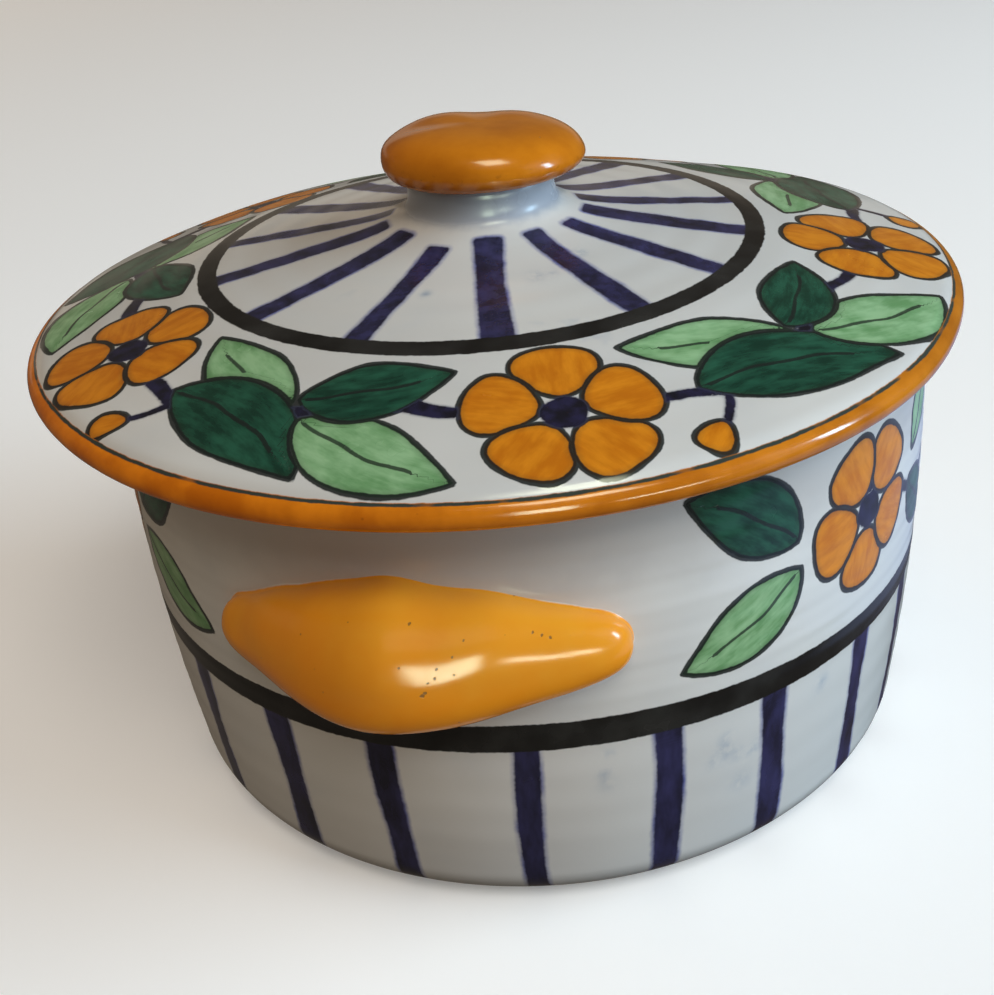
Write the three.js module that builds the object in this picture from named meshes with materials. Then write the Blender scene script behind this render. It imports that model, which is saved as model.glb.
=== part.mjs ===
// Round covered pot for sweets: a straight-sided faience pot with two modelled
// lug handles, and a loose, wide, shallow-domed lid with a locating ring, a
// thrown neck and a moulded knob.
// Millimetres, +Z up. Origin: centre of the flat base, on the surface it
// stands on. The lugs lie on the Y axis.
import * as THREE from 'three';

// ---- driving dimensions -------------------------------------------------
const SEGMENTS = 64;            // facets round every turned piece

// pot
const POT_CORNER_Z = 8.3;       // height of the rounded lower corner
const POT_CORNER_R = 8.4;       // its depth, measured along the radius
const POT_WALL_R0 = 72.85;      // wall radius just above the corner
const POT_WALL_SLOPE = 0.1121;  // flare of the wall there
const POT_WALL_BELLY = 0.00118; // how fast that flare turns back in
const POT_TOP_Z = 82.35;        // top of the lip
const POT_WALL_T = 5.0;         // wall thickness
const POT_FLOOR_Z = 6.0;        // inside floor

// lid
const LID_R = 85.0;             // outside radius of the rolled rim
const LID_SEAT_Z = 82.6;        // flat underside that rests on the lip
const LID_RIM_R = 2.25;         // half thickness of the rolled rim
const LID_RIM_DROP = 0.5;       // the rolled rim hangs this far below the seat
const LID_RIM_FREE_R = 78.5;    // outside this radius the underside is clear of the pot's lip
const LID_DROOPS = [            // where the edge sank or rose in firing: azimuth from the front, spread (degrees), height
  [180.6, 33, -2.25], [-112.4, 22, -0.9], [115.6, 20, 0.3],
];
const LID_NECK_R = 13.2;        // neck under the knob
const LID_NECK_TOP_Z = 107.4;
const LID_REST = [-3.85, -1.08]; // the lid lies this far off the pot's axis, inside its play

// locating ring under the lid
const RING_OUT_R = 65.2;
const RING_IN_R = 61.2;
const RING_BOTTOM_Z = 75.2;
const LUTE_GAP = 0.2;           // slip joint left between luted pieces

// knob
const KNOB_R = 18.43;
const KNOB_BOTTOM_Z = LID_NECK_TOP_Z + LUTE_GAP;
const KNOB_TOP_Z = 115.94;
const KNOB_WIDEST = 0.332;      // where it is widest, as a share of its height
const KNOB_FOOT_R = 12.03;      // flat underside on the neck
const KNOB_DIPS = [             // soft finger dips of the crown: azimuth, half width in radians, depth
  [90, 0.404, 1.093], [172, 0.5, 1.34], [8, 0.5, 0.08],
];
const KNOB_LEAN = [0.06, 0.009]; // it was set on leaning slightly: falls along its first axis and hardly along its second
const KNOB_OFFSET = [0.967, 1.39]; // and slightly off the lid's axis, along the same two axes
const KNOB_AZIMUTH = 15.6 * Math.PI / 180; // first axis of the knob, from +X towards +Y

// lug handles
const LUG_HALF_ANGLE = 25.98 * Math.PI / 180;
const LUG_MID_Z = [56.8, 1.066, -1.697]; // height of the lug's middle: at its centre, slope, bend
const LUG_END = 3.09;           // how blunt the two ends are
// half height and projection along the lug: cosine series of their logarithms
const LUG_H_SERIES = [2.2832, -0.0277, -0.06753, 0.01164, 0.11878];
const LUG_P_SERIES = [2.30822, 0.06303, -0.16642, 0.03957, 0.20618, -0.04574];

// ---- helpers --------------------------------------------------------------
const wallR = (z) => {
  const t = z - POT_CORNER_Z;
  return POT_WALL_R0 + POT_WALL_SLOPE * t - POT_WALL_BELLY * t * t;
};

const smooth = (a, b, x) => {
  const t = Math.min(1, Math.max(0, (x - a) / (b - a)));
  return t * t * (3 - 2 * t);
};

// turned solid about +Z from [radius, height] pairs
function turned(profile) {
  const g = new THREE.LatheGeometry(profile.map(([r, z]) => new THREE.Vector2(r, z)), SEGMENTS);
  g.rotateX(Math.PI / 2);
  return g;
}

// closed solid from rings of points that all have the same count, capped at both ends
function lofted(rings) {
  const n = rings[0].length;
  const pos = [];
  const index = [];
  for (const ring of rings) for (const p of ring) pos.push(...p);
  for (let i = 0; i + 1 < rings.length; i++) {
    for (let j = 0; j < n; j++) {
      const a = i * n + j, b = i * n + (j + 1) % n, c = a + n, d = b + n;
      index.push(a, c, b, b, c, d);
    }
  }
  for (const [i, flip] of [[0, false], [rings.length - 1, true]]) {
    const mid = [0, 0, 0];
    for (const p of rings[i]) for (let k = 0; k < 3; k++) mid[k] += p[k] / n;
    const m = pos.length / 3;
    pos.push(...mid);
    for (let j = 0; j < n; j++) {
      const a = i * n + j, b = i * n + (j + 1) % n;
      if (flip) index.push(m, b, a); else index.push(m, a, b);
    }
  }
  const g = new THREE.BufferGeometry();
  g.setAttribute('position', new THREE.Float32BufferAttribute(pos, 3));
  g.setIndex(index);
  g.computeVertexNormals();
  return g;
}

function piece(name, geometry, color, roughness) {
  const m = new THREE.Mesh(geometry, new THREE.MeshStandardMaterial({ color, roughness, metalness: 0 }));
  m.name = name;
  return m;
}

// ---- pot --------------------------------------------------------------------
function potProfile() {
  const p = [[0, 0]];
  const flat = POT_WALL_R0 - POT_CORNER_R;
  for (let i = 0; i <= 6; i++) {
    const a = (i / 6) * Math.PI / 2;
    p.push([flat + POT_CORNER_R * Math.sin(a), POT_CORNER_Z * (1 - Math.cos(a))]);
  }
  for (const z of [20, 32, 44, 56, 68, 76]) p.push([wallR(z), z]);
  const top = wallR(POT_TOP_Z);
  p.push([top, POT_TOP_Z - 1.4], [top - 0.45, POT_TOP_Z - 0.35], [top - 1.4, POT_TOP_Z]);
  p.push([top - POT_WALL_T + 1.4, POT_TOP_Z], [top - POT_WALL_T + 0.4, POT_TOP_Z - 0.4], [top - POT_WALL_T, POT_TOP_Z - 1.4]);
  for (const z of [68, 50, 32, 18]) p.push([wallR(z) - POT_WALL_T, z]);
  const ir = 9;
  const ic = wallR(14) - POT_WALL_T - ir;
  for (let i = 1; i <= 4; i++) {
    const a = (i / 4) * Math.PI / 2;
    p.push([ic + ir * Math.cos(a), POT_FLOOR_Z + ir - ir * Math.sin(a)]);
  }
  p.push([0, POT_FLOOR_Z]);
  return p;
}

// ---- lug handle ---------------------------------------------------------------
// u runs along the lug from -1 to 1; each section is D-shaped, its flat on the wall
const blunt = (u) => Math.sqrt(Math.max(0, 1 - Math.abs(u) ** LUG_END));
const series = (c, u) => Math.exp(c.reduce((sum, k, n) => sum + k * Math.cos(n * Math.acos(u)), 0));
const lugMidZ = (u) => LUG_MID_Z[0] + LUG_MID_Z[1] * u + LUG_MID_Z[2] * u * u;
const lugHalfH = (u) => blunt(u) * series(LUG_H_SERIES, u);
const lugOut = (u) => blunt(u) * series(LUG_P_SERIES, u);
function lugGeometry() {
  const NU = 22, NV = 10, NB = 3;
  const rings = [];
  for (let i = 0; i <= NU; i++) {
    const u = 0.985 * Math.sin((i / NU - 0.5) * Math.PI);
    const a = LUG_HALF_ANGLE * u;
    const ring = [];
    const put = (z, out) => {
      const r = wallR(z) + LUTE_GAP + out;
      ring.push([r * Math.sin(a), -r * Math.cos(a), z]);
    };
    for (let j = 0; j <= NV; j++) {
      const v = (0.5 - j / NV) * Math.PI;
      put(lugMidZ(u) + lugHalfH(u) * Math.sin(v), lugOut(u) * Math.max(0, Math.cos(v)) ** 0.9);
    }
    for (let j = 1; j <= NB; j++) put(lugMidZ(u) - lugHalfH(u) * (1 - 2 * j / (NB + 1)), 0);
    rings.push(ring.reverse());
  }
  return lofted(rings);
}

// ---- lid ----------------------------------------------------------------------
function lidProfile() {
  const p = [[0, 93.0], [20, 92.8], [40, 91.3], [52, 89.3], [57.5, 87.6], [60.2, 85.5], [61.1, 83.6], [61.3, LID_SEAT_Z],
    [LID_RIM_FREE_R, LID_SEAT_Z]];
  const rc = LID_R - LID_RIM_R, zc = LID_SEAT_Z - LID_RIM_DROP + LID_RIM_R;
  for (let i = 0; i <= 6; i++) {
    const a = (-0.5 + (i / 6) * 0.93) * Math.PI;
    p.push([rc + LID_RIM_R * Math.cos(a), zc + LID_RIM_R * Math.sin(a)]);
  }
  p.push([82.3, 87.35], [75, 89.4], [65, 91.8], [58, 93.4], [51.8, 94.7], [45, 95.75], [38, 96.75],
    [30, 97.95], [24, 98.9], [20, 99.75], [17.2, 100.6], [15.4, 101.35], [14.2, 102.2], [13.55, 103.3],
    [13.3, 104.7], [13.22, 106.0], [LID_NECK_R, LID_NECK_TOP_Z], [0, LID_NECK_TOP_Z]);
  return p;
}

// the lid as it came from the kiln: its edge is slightly out of true, its seat is flat
function lidGeometry() {
  const g = turned(lidProfile());
  const pos = g.attributes.position;
  for (let i = 0; i < pos.count; i++) {
    const x = pos.getX(i), y = pos.getY(i), z = pos.getZ(i);
    const r = Math.hypot(x, y);
    const upper = z > LID_SEAT_Z + 1.4 && (r > 62 || z > 94);
    const share = upper ? smooth(56, 84, r) : smooth(LID_RIM_FREE_R, 84, r);
    const az = Math.atan2(x, -y) * 180 / Math.PI;
    let dz = 0;
    for (const [at, spread, height] of LID_DROOPS) {
      const d = (az - at + 540) % 360 - 180;
      dz += height * Math.exp(-((d / spread) ** 2));
    }
    pos.setZ(i, z + share * dz);
  }
  g.computeVertexNormals();
  return g;
}

function ringProfile() {
  const top = LID_SEAT_Z - LUTE_GAP;
  return [[RING_OUT_R, RING_BOTTOM_Z + 1], [RING_OUT_R, top], [RING_IN_R, top], [RING_IN_R, RING_BOTTOM_Z + 1],
    [RING_IN_R + 0.9, RING_BOTTOM_Z], [RING_OUT_R - 0.9, RING_BOTTOM_Z], [RING_OUT_R, RING_BOTTOM_Z + 1]];
}

// knob: flat underside on the neck, full round edge, flat crown with soft finger dips
function knobGeometry() {
  const NA = 40, NV = 12;
  const h = KNOB_TOP_Z - KNOB_BOTTOM_Z, mid = KNOB_BOTTOM_Z + KNOB_WIDEST * h;
  const rings = [];
  for (let j = 0; j <= NV; j++) {
    const v = -1 + 2 * j / NV;                 // -1 foot edge, 0 widest, 1 near the crown
    const ring = [];
    for (let i = 0; i < NA; i++) {
      const a = (i / NA) * 2 * Math.PI;
      const t = v * Math.PI / 2;
      let r, z;
      if (v < 0) {
        r = KNOB_FOOT_R + (KNOB_R - KNOB_FOOT_R) * Math.max(0, Math.cos(t)) ** 0.434;
        z = mid + (mid - KNOB_BOTTOM_Z) * Math.sin(t);
      } else {
        r = 0.9 + (KNOB_R - 0.9) * Math.max(0, Math.cos(t)) ** 0.461;
        z = mid + (KNOB_TOP_Z - mid) * Math.sin(t);
        const q = r / KNOB_R;
        const spread = 1.6 * q * q * Math.sqrt(Math.max(0, 1 - q ** 4)) * Math.sin(t);
        for (const [deg, width, depth] of KNOB_DIPS) {
          const off = Math.atan2(Math.sin(a - deg * Math.PI / 180), Math.cos(a - deg * Math.PI / 180));
          z -= depth * Math.exp(-((off / width) ** 2)) * spread;
        }
      }
      const w = Math.min(1, Math.max(0, (z - KNOB_BOTTOM_Z) / (0.6 * h)));
      z -= r * (KNOB_LEAN[0] * Math.cos(a) + KNOB_LEAN[1] * Math.sin(a)) * w * w * (3 - 2 * w);
      ring.push([r * Math.cos(a), r * Math.sin(a), z]);
    }
    rings.push(ring);
  }
  return lofted(rings.map((ring) => ring.slice().reverse()));
}

// ---- assembly -------------------------------------------------------------------
const WHITE = 0xd9d6cf, AMBER = 0xc07a12, CLAY = 0xd9d6cf;

const bonbonniere = new THREE.Group();

const pot = new THREE.Group();
pot.add(piece('pot_body', turned(potProfile()), WHITE, 0.18));
pot.add(piece('handle_front', lugGeometry(), AMBER, 0.15));
const rear = piece('handle_rear', lugGeometry(), AMBER, 0.15);
rear.rotation.z = Math.PI;
pot.add(rear);
bonbonniere.add(pot);

const cover = new THREE.Group();
cover.position.set(LID_REST[0], LID_REST[1], 0);
cover.add(piece('lid', lidGeometry(), WHITE, 0.18));
cover.add(piece('lid_locating_ring', turned(ringProfile()), CLAY, 0.3));
const knob = piece('lid_knob', knobGeometry(), AMBER, 0.15);
knob.rotation.z = KNOB_AZIMUTH;
knob.position.set(
  KNOB_OFFSET[0] * Math.cos(KNOB_AZIMUTH) - KNOB_OFFSET[1] * Math.sin(KNOB_AZIMUTH),
  KNOB_OFFSET[0] * Math.sin(KNOB_AZIMUTH) + KNOB_OFFSET[1] * Math.cos(KNOB_AZIMUTH), 0);
cover.add(knob);
bonbonniere.add(cover);

export default bonbonniere;
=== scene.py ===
import math

import bpy
import numpy as np
from mathutils import Matrix, Vector


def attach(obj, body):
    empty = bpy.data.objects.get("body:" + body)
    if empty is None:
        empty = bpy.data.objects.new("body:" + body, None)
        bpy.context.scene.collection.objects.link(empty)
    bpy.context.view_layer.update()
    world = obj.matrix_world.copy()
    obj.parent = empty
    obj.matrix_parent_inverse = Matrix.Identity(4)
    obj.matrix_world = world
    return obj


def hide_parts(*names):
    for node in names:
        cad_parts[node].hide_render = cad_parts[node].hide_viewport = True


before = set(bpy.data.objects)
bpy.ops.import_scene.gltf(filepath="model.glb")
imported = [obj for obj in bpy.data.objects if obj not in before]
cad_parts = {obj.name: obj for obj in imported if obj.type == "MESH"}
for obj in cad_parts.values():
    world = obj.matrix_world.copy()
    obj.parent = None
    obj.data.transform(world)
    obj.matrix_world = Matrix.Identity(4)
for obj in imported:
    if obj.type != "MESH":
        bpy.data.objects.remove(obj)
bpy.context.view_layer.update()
RNG = np.random.default_rng(7)
MM = 0.001
FAR = 60.0

# ---------------------------------------------------------------------------
# dimensions shared with the construction
# ---------------------------------------------------------------------------
POT_TOP = 82.35
LID_AT = np.array([-3.85, -1.08])      # where the lid lies on the pot
SEAT_Z = 82.6
LUG_HALF = math.radians(25.98)
VIEW_AZ = math.radians(15.6)           # the viewer stands this far round from -Y towards +X
KNOB_AT = LID_AT + 0.967 * np.array([math.cos(VIEW_AZ), math.sin(VIEW_AZ)]) + 1.39 * np.array([-math.sin(VIEW_AZ), math.cos(VIEW_AZ)])


def wall_r(z):
    t = z - 8.3
    return 72.85 + 0.1121 * t - 0.00118 * t * t


def step(lo, hi, x):
    """Smooth step from 0 at lo to 1 at hi."""
    t = np.clip((x - lo) / (hi - lo), 0, 1)
    return t * t * (3 - 2 * t)


def smooth_line(points, spacing):
    """A smooth line through the points, with a sample about every spacing."""
    p = np.asarray(points, float)
    t = np.concatenate([[0], np.cumsum(np.linalg.norm(np.diff(p, axis=0), axis=1))])
    m = np.zeros_like(p)
    d = np.diff(p, axis=0) / np.diff(t)[:, None]
    h = np.diff(t)
    m[1:-1] = (d[1:] * h[:-1, None] + d[:-1] * h[1:, None]) / (h[:-1] + h[1:])[:, None]
    m[0], m[-1] = d[0], d[-1]
    out = []
    for i in range(len(h)):
        n = max(1, int(round(h[i] / spacing)))
        s = (np.arange(n) / n)[:, None]
        out.append((2 * s**3 - 3 * s**2 + 1) * p[i] + (s**3 - 2 * s**2 + s) * h[i] * m[i]
                   + (3 * s**2 - 2 * s**3) * p[i + 1] + (s**3 - s**2) * h[i] * m[i + 1])
    out.append(p[-1:])
    return np.concatenate(out)


def arc(cx, cz, r, a0, a1, n, rz=None):
    a = np.radians(np.linspace(a0, a1, n))
    return np.stack([cx + r * np.cos(a), cz + (rz or r) * np.sin(a)], 1)


def joined(*runs):
    """Runs of profile points end to end, without doubled points."""
    p = np.concatenate([np.asarray(r, float) for r in runs])
    keep = np.ones(len(p), bool)
    keep[1:] = np.linalg.norm(np.diff(p, axis=0), axis=1) > 1e-4
    return p[keep]


# ---------------------------------------------------------------------------
# painted decoration: signed distances in millimetres, negative inside a colour
# ---------------------------------------------------------------------------
def poly_sd(P, poly):
    """Signed distance of points to a closed outline, negative inside."""
    d = np.full(len(P), 1e9)
    inside = np.zeros(len(P), bool)
    for a, b in zip(poly, np.roll(poly, -1, 0)):
        e = b - a
        w = P - a
        t = np.clip((w @ e) / (e @ e + 1e-12), 0, 1)
        q = w - t[:, None] * e
        d = np.minimum(d, (q * q).sum(1))
        hit = (a[1] > P[:, 1]) != (b[1] > P[:, 1])
        dy = b[1] - a[1]
        x = (b[0] - a[0]) * (P[:, 1] - a[1]) / (dy if abs(dy) > 1e-12 else 1e-12) + a[0]
        inside ^= hit & (P[:, 0] < x)
    d = np.sqrt(d)
    d[inside] *= -1
    return d


def line_sd(P, line, half):
    """Distance to a stroke along a line of points, with a half width for each point."""
    best = np.full(len(P), 1e9)
    for a, b, ha, hb in zip(line[:-1], line[1:], half[:-1], half[1:]):
        e = b - a
        w = P - a
        t = np.clip((w @ e) / (e @ e + 1e-12), 0, 1)
        q = w - t[:, None] * e
        best = np.minimum(best, np.sqrt((q * q).sum(1)) - (ha + (hb - ha) * t))
    return best


def wobble(poly, amp):
    """An uneven hand: a smooth offset round an outline."""
    t = np.linspace(0, 2 * np.pi, len(poly), endpoint=False)
    off = sum(RNG.normal() * amp / (k**1.1) * np.cos(k * t + RNG.uniform(0, 6.28)) for k in range(2, 7))
    tan = np.roll(poly, -1, 0) - np.roll(poly, 1, 0)
    nor = np.stack([tan[:, 1], -tan[:, 0]], 1)
    nor /= np.linalg.norm(nor, axis=1, keepdims=True) + 1e-9
    return poly + nor * off[:, None]


def bezier(p0, p1, p2, n):
    t = np.linspace(0, 1, n)[:, None]
    return (1 - t) ** 2 * p0 + 2 * t * (1 - t) * p1 + t * t * p2


class Sheet:
    """Painted colours over points laid out flat. Later shapes lie over earlier ones."""

    KEYS = ("or_a", "or_b", "or_c", "dg", "lg", "nv")

    def __init__(self, P):
        self.P = P
        self.d = {k: np.full(len(P), FAR) for k in self.KEYS}
        self.d["vein"] = np.full(len(P), FAR)
        self.d["bu"] = np.zeros(len(P))
        self.d["bv"] = np.zeros(len(P))
        self.d["tone"] = np.zeros(len(P))
        self.near = np.full(len(P), FAR)

    def put(self, key, sd, idx, u, v):
        for k in self.KEYS:
            if k != key:
                self.d[k][idx] = np.maximum(self.d[k][idx], -sd)
        self.d[key][idx] = np.minimum(self.d[key][idx], sd)
        own = (sd < self.near[idx]) | (sd < 0)
        j = idx[own]
        self.near[j] = sd[own]
        self.d["bu"][j] = u[own]
        self.d["bv"][j] = v[own]
        self.d["tone"][j] = RNG.uniform(0, 1)

    def pick(self, centre, reach):
        return np.nonzero(((self.P - centre) ** 2).sum(1) < reach * reach)[0]

    def leaf(self, key, base, tip, bend, width, full=0.85):
        base = np.asarray(base, float) + RNG.normal(0, 0.35, 2)
        tip = np.asarray(tip, float) + RNG.normal(0, 0.5, 2)
        ax = tip - base
        L = np.linalg.norm(ax)
        nrm = np.array([-ax[1], ax[0]]) / L
        c = bezier(base, (base + tip) / 2 + nrm * bend * L, tip, 26)
        t = np.linspace(0, 1, 26)
        tan = np.gradient(c, axis=0)
        tan /= np.linalg.norm(tan, axis=1, keepdims=True)
        nor = np.stack([-tan[:, 1], tan[:, 0]], 1)
        w = width * 0.5 * np.sin(np.pi * t**full) ** 0.85 * RNG.uniform(0.95, 1.05)
        poly = wobble(np.concatenate([c + nor * w[:, None], (c - nor * w[:, None])[::-1][1:-1]]), 0.16)
        idx = self.pick((base + tip) / 2, L * 0.5 + width + 6)
        P = self.P[idx]
        sd = poly_sd(P, poly)
        k = ((P[:, None, :] - c[None]) ** 2).sum(2).argmin(1)
        off = P - c[k]
        across = (off * nor[k]).sum(1)
        along = t[k] * L + (off * tan[k]).sum(1)
        self.put(key, sd, idx, along, across)
        # midrib: its signed distance grows past the ends, so that the stroke thins out there
        m = sd < 1.2
        rib = across + 0.25 * np.sin(along * 0.5)
        thin = 2.0 * np.maximum(0, along - 0.78 * L) + 2.0 * np.maximum(0, 1.5 - along)
        self.d["vein"][idx[m]] = (rib + np.where(rib >= 0, thin, -thin))[m]

    def blossom(self, centre, R, n, turn, heart):
        centre = np.asarray(centre, float)
        for k in range(n):
            a = turn + 2 * np.pi * k / n + RNG.normal(0, 0.03)
            ax = np.array([np.cos(a), np.sin(a)])
            ay = np.array([-ax[1], ax[0]])
            r = R * RNG.uniform(0.97, 1.03)
            b = r * 0.60 * np.tan(np.pi / n) * 0.985
            q = np.linspace(0, 2 * np.pi, 40, endpoint=False)
            x = 0.61 * r + 0.39 * r * np.cos(q)
            y = b * np.sin(q) * (1 + 0.28 * np.cos(q))
            poly = wobble(centre + x[:, None] * ax + y[:, None] * ay, 0.14)
            idx = self.pick(centre + ax * 0.6 * r, 0.6 * r + 7)
            P = self.P[idx]
            sd = poly_sd(P, poly)
            w = P - centre
            self.put("or_c" if k == n - 1 and n % 2 else ("or_a", "or_b")[k % 2], sd, idx, w @ ax, w @ ay)
            self.d["vein"][idx[sd < 0]] = FAR
        q = np.linspace(0, 2 * np.pi, 36, endpoint=False)
        poly = wobble(centre + heart * np.stack([np.cos(q), np.sin(q)], 1), 0.2)
        idx = self.pick(centre, heart + 8)
        w = self.P[idx] - centre
        self.put("nv", poly_sd(self.P[idx], poly), idx, w[:, 0], w[:, 1])

    def bud(self, centre, turn, length, width):
        centre = np.asarray(centre, float)
        ax = np.array([np.cos(turn), np.sin(turn)])
        ay = np.array([-ax[1], ax[0]])
        q = np.linspace(0, 2 * np.pi, 32, endpoint=False)
        x = 0.5 * length * np.cos(q)
        y = 0.5 * width * np.sin(q) * (1 - 0.35 * np.cos(q))
        poly = wobble(centre + x[:, None] * ax + y[:, None] * ay, 0.1)
        idx = self.pick(centre, length + 6)
        w = self.P[idx] - centre
        sd = poly_sd(self.P[idx], poly)
        self.put("or_a", sd, idx, w @ ax, w @ ay)
        self.d["vein"][idx[sd < 0]] = FAR

    def stroke(self, line, half):
        line = np.asarray(line, float)
        mid = line.mean(0)
        idx = self.pick(mid, np.sqrt(((line - mid) ** 2).sum(1)).max() + 8)
        P = self.P[idx]
        d2 = ((P[:, None, :] - line[None]) ** 2).sum(2)
        self.put("nv", line_sd(P, line, half), idx, d2.argmin(1) * 1.5, np.sqrt(d2.min(1)))


def pol(r, deg):
    a = np.radians(deg)
    return np.array([r * np.sin(a), -r * np.cos(a)])


def lid_border(S, first=24.0, repeats=5):
    """A running vine: blossoms, leaves and buds on a waving stem."""
    for k in range(repeats):
        f = first + 360.0 / repeats * k + RNG.normal(0, 0.7)
        ph = np.linspace(9, 63, 34)
        r = 67.5 + 3.6 * np.sin((ph - 9) / 54 * 2 * np.pi) + 0.3 * np.sin(ph * 0.7)
        S.stroke([pol(a, f + b) for a, b in zip(r, ph)], 1.25 + 0.25 * np.sin(ph * 0.31 + k))
        S.stroke(bezier(pol(71.0, f + 20), pol(75.5, f + 18.5), pol(79.0, f + 15.0), 10), np.full(10, 0.75))
        S.leaf("lg", pol(65.8, f + 37.0), pol(55.9, f + 12.0), 0.13, 13.2)
        S.leaf("dg", pol(69.0, f + 17.5), pol(80.2, f + 42.5), 0.13, 15.6)
        S.leaf("lg", pol(68.6, f + 39.0), pol(80.4, f + 60.0), -0.15, 13.8)
        S.leaf("dg", pol(64.0, f + 36.5), pol(55.8, f + 58.5), -0.12, 12.4)
    for k in range(repeats):
        S.blossom(pol(67.9, first + 360.0 / repeats * k + RNG.normal(0, 0.6)), 15.1, 5, RNG.uniform(0, 6), 3.5)
    for k in range(repeats):
        f = first + 360.0 / repeats * k
        S.bud(pol(79.2, f + 14.6), np.radians(f + 14.6 + 40), 7.0, 5.6)


def pot_border(S):
    """The same vine on the two flanks, between the handles."""
    def at(deg, z):
        return np.array([75.2 * np.radians(deg), z])

    for side in (1, -1):
        for m in (1, -1):                        # mirrored about the middle of the flank
            def q(deg, z):
                return at(side * (90 + m * (90 - deg)) if m > 0 else side * deg, z)
            z = np.linspace(56, 90, 30)
            S.stroke([q(b, 61 + 5.0 * math.sin((b - 50) / 40 * 2 * math.pi)) for b in z], np.full(30, 1.05))
            flip = side * m
            S.leaf("lg", q(49, 58.5), q(31.5, 47.5), -0.10 * flip, 12.4)
            S.leaf("dg", q(48.5, 63.5), q(33, 77), 0.12 * flip, 12.6)
            S.leaf("dg", q(75, 60), q(88, 47.2), 0.14 * flip, 10.4)
            S.leaf("lg", q(76, 64), q(88.2, 77), -0.14 * flip, 10.4)
    for side in (1, -1):
        for deg in (62, 118):
            S.blossom(at(side * deg, 61.5), 14.4, 5, RNG.uniform(0, 6), 3.3)
        S.bud(at(side * 90, 61.5), math.pi / 2, 8.4, 6.2)


# ---------------------------------------------------------------------------
# mesh making
# ---------------------------------------------------------------------------
ATTRS = ("or_a", "or_b", "or_c", "dg", "lg", "nv", "vein", "bu", "bv", "tone", "st", "rg", "rm", "clay", "smear")
DEFAULTS = {"bu": 0.0, "bv": 0.0, "tone": 0.0, "clay": 0.0, "smear": 0.0}


def make(name, verts, faces, uv=None, attrs=None):
    """A smooth-shaded mesh object; verts in mm in the shared frame, uv one pair per face corner."""
    V = np.asarray(verts, float)
    T = np.array([(f[0], f[i], f[i + 1]) for f in faces for i in range(1, len(f) - 1)])
    volume = (V[T[:, 0]] * np.cross(V[T[:, 1]], V[T[:, 2]])).sum()
    if volume < 0:                                    # turn every face outwards
        k = 0
        uv = list(uv) if uv is not None else None
        for i, f in enumerate(faces):
            if uv is not None:
                uv[k:k + len(f)] = uv[k:k + len(f)][::-1]
            k += len(f)
            faces[i] = f[::-1]
    me = bpy.data.meshes.new(name)
    me.from_pydata((V * MM).tolist(), [], faces)
    me.polygons.foreach_set("use_smooth", np.ones(len(me.polygons), bool))
    if uv is not None:
        layer = me.uv_layers.new(name="OFBake")
        layer.data.foreach_set("uv", np.asarray(uv, np.float32).ravel())
    for key, val in (attrs or {}).items():
        a = me.attributes.new(key, "FLOAT", "POINT")
        a.data.foreach_set("value", np.asarray(val, np.float32))
    me.update()
    ob = bpy.data.objects.new(name, me)
    bpy.context.scene.collection.objects.link(ob)
    return ob


def lathe_grid(profile, n):
    """Rings of a turned piece. The first and last profile points may lie on the axis (radius 0)."""
    a = np.arange(n) * 2 * np.pi / n
    R = profile[:, 0][:, None] * np.ones(n)
    Z = profile[:, 1][:, None] * np.ones(n)
    A = np.ones(len(profile))[:, None] * a
    return A, R, Z


def lathe_mesh(name, profile, A, R, Z, centre, chart, values, closed=False):
    """A turned piece from its grid. chart(i, j, part) gives the flat layout of a corner."""
    M, n = A.shape
    tip0 = (not closed) and profile[0, 0] < 1e-6
    tip1 = (not closed) and profile[-1, 0] < 1e-6
    X = centre[0] + R * np.sin(A)
    Y = centre[1] - R * np.cos(A)
    rows = list(range(M))
    index = {}
    verts = []
    pick = []
    for i in rows:
        if (i == 0 and tip0) or (i == M - 1 and tip1):
            index[i] = [len(verts)] * n
            verts.append((centre[0], centre[1], Z[i].mean()))
            pick.append((i, 0))
        else:
            base = len(verts)
            index[i] = list(range(base, base + n))
            verts.extend(zip(X[i], Y[i], Z[i]))
            pick.extend((i, j) for j in range(n))
    faces, uv = [], []
    pairs = list(zip(rows[:-1], rows[1:]))
    if closed:
        pairs.append((M - 1, 0))
    for i, k in pairs:
        for j in range(n):
            h = (j + 1) % n
            ring = [(i, j, j), (i, h, j + 1), (k, h, j + 1), (k, j, j)]
            if i == 0 and tip0:
                ring = [(i, j, j), (k, h, j + 1), (k, j, j)]
            elif k == M - 1 and tip1:
                ring = [(i, j, j), (i, h, j + 1), (k, j, j)]
            faces.append([index[r][c] for r, c, _ in ring])
            uv.extend(chart(r, c, i) for r, _, c in ring)
    pick = np.array(pick)
    attrs = {}
    for key in ATTRS:
        g = values.get(key)
        attrs[key] = np.full(len(verts), DEFAULTS.get(key, FAR)) if g is None else g[pick[:, 0], pick[:, 1]]
    return make(name, verts, faces, uv, attrs)


def run_length(profile):
    return np.concatenate([[0], np.cumsum(np.linalg.norm(np.diff(profile, axis=0), axis=1))])


# ---------------------------------------------------------------------------
# lid
# ---------------------------------------------------------------------------
N_ROUND = 640


def smears(x, y, spots):
    """How much stray blue lies at each place; spots: place, size and strength of each touch."""
    d = np.zeros(np.shape(x))
    for a, b, size, k in spots:
        d = np.maximum(d, k * np.exp(-((x - a) ** 2 + (y - b) ** 2) / size ** 2))
    return d


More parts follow.
